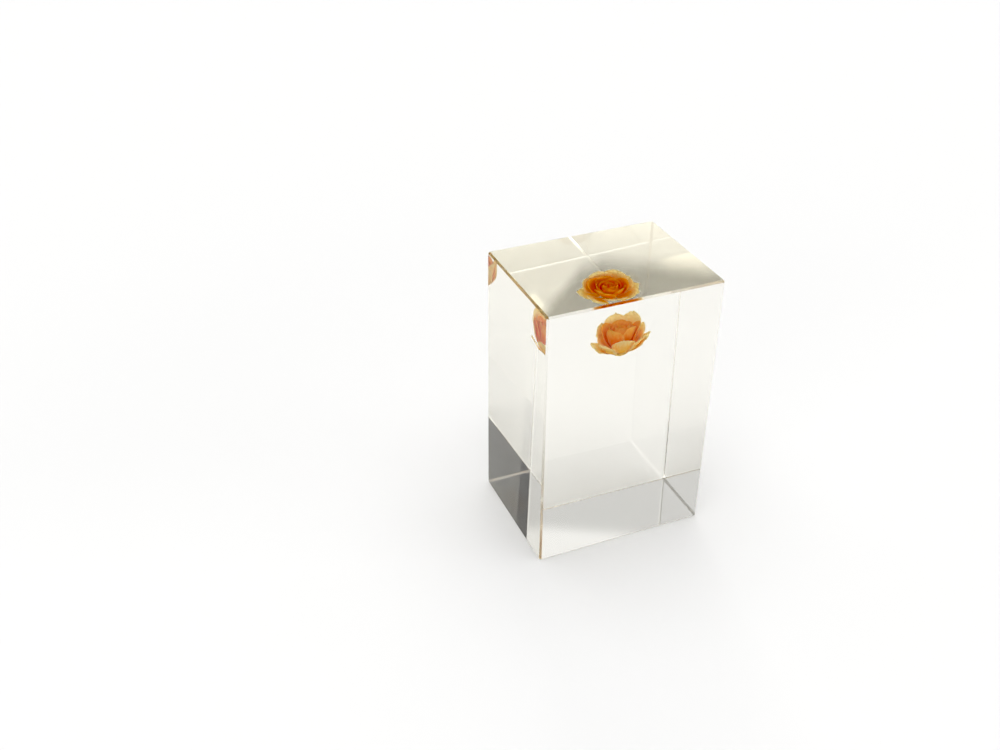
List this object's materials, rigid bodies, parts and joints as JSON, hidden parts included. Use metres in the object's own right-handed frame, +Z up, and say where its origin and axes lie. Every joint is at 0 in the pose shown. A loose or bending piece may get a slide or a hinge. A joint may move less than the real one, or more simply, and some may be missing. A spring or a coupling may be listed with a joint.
{
  "type": "flower in resin block",
  "caption": "Upright clear resin block with narrow chamfers and a dried orange rose head sealed near its top.",
  "frame": {"origin": "middle of the block's base", "axes": "+Z up the block's height, +X along its width and +Y along its depth, away from the viewer"},
  "size_m": [0.05, 0.038, 0.078],
  "materials": {
    "resin": "polished",
    "receptacle": "matte",
    "petal_heart": "matte",
    "petal_cup": "matte",
    "petal_outer": "matte"
  },
  "bodies": {
    "root": {"resin_lower": "resin", "resin_upper": "resin", "receptacle": "receptacle", "heart_petal_1": "petal_heart", "heart_petal_2": "petal_heart", "heart_petal_3": "petal_heart", "heart_petal_4": "petal_heart", "heart_petal_5": "petal_heart", "heart_petal_6": "petal_heart", "cup_petal_1": "petal_cup", "cup_petal_2": "petal_cup", "cup_petal_3": "petal_cup", "cup_petal_4": "petal_cup", "cup_petal_5": "petal_cup", "cup_petal_6": "petal_cup", "cup_petal_7": "petal_cup", "cup_petal_8": "petal_cup", "cup_petal_9": "petal_cup", "outer_petal_1": "petal_outer", "outer_petal_2": "petal_outer", "outer_petal_3": "petal_outer", "outer_petal_4": "petal_outer", "outer_petal_5": "petal_outer", "outer_petal_6": "petal_outer", "outer_petal_7": "petal_outer", "outer_petal_8": "petal_outer", "outer_petal_9": "petal_outer"}
  },
  "joints": []
}
